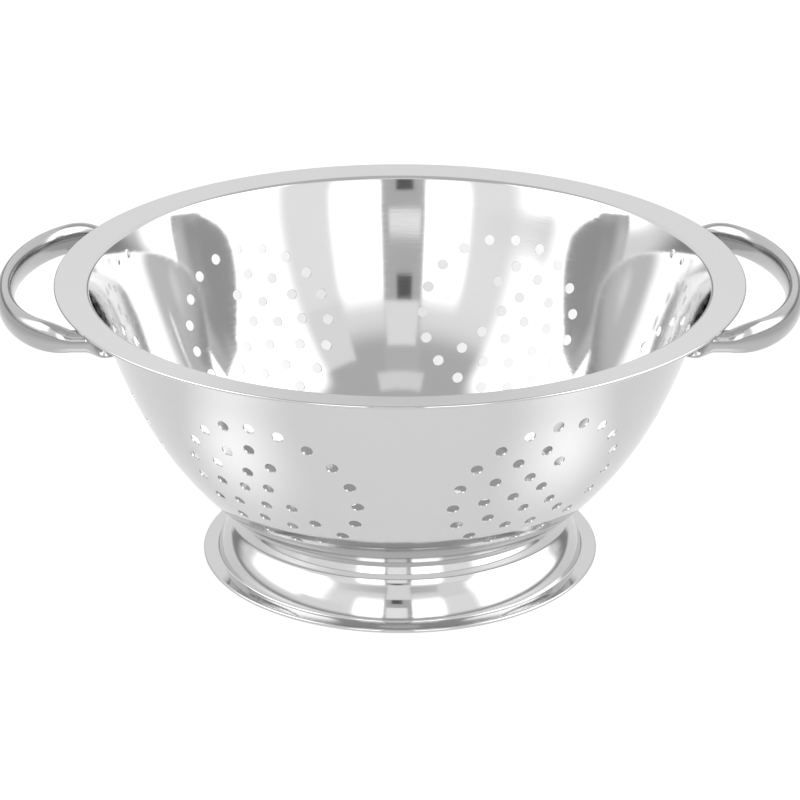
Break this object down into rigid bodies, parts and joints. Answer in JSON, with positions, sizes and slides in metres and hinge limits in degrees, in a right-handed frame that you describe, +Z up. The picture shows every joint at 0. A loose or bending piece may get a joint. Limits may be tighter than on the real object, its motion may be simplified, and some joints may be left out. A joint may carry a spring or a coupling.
{
  "type": "colander",
  "caption": "Round footed colander in polished sheet steel, with punched drain-hole groups, a flat flanged rim and two loop handles of oval tube.",
  "frame": {"origin": "on the floor under the middle of the bowl, at the foot's underside", "axes": "+X towards the right-hand handle, +Y away from the viewer of the picture, +Z up the bowl's axis"},
  "size_m": [0.3268, 0.28, 0.1232],
  "materials": {
    "bowl_steel": "mirror polished",
    "foot_steel": "mirror polished",
    "handle_steel": "mirror polished",
    "weld_steel": "dull, fused"
  },
  "bodies": {
    "root": {"bowl": "bowl_steel", "foot_ring": "foot_steel", "handle_left": "handle_steel", "handle_right": "handle_steel", "handle_spot_welds": "weld_steel", "foot_spot_welds": "weld_steel"}
  },
  "joints": []
}
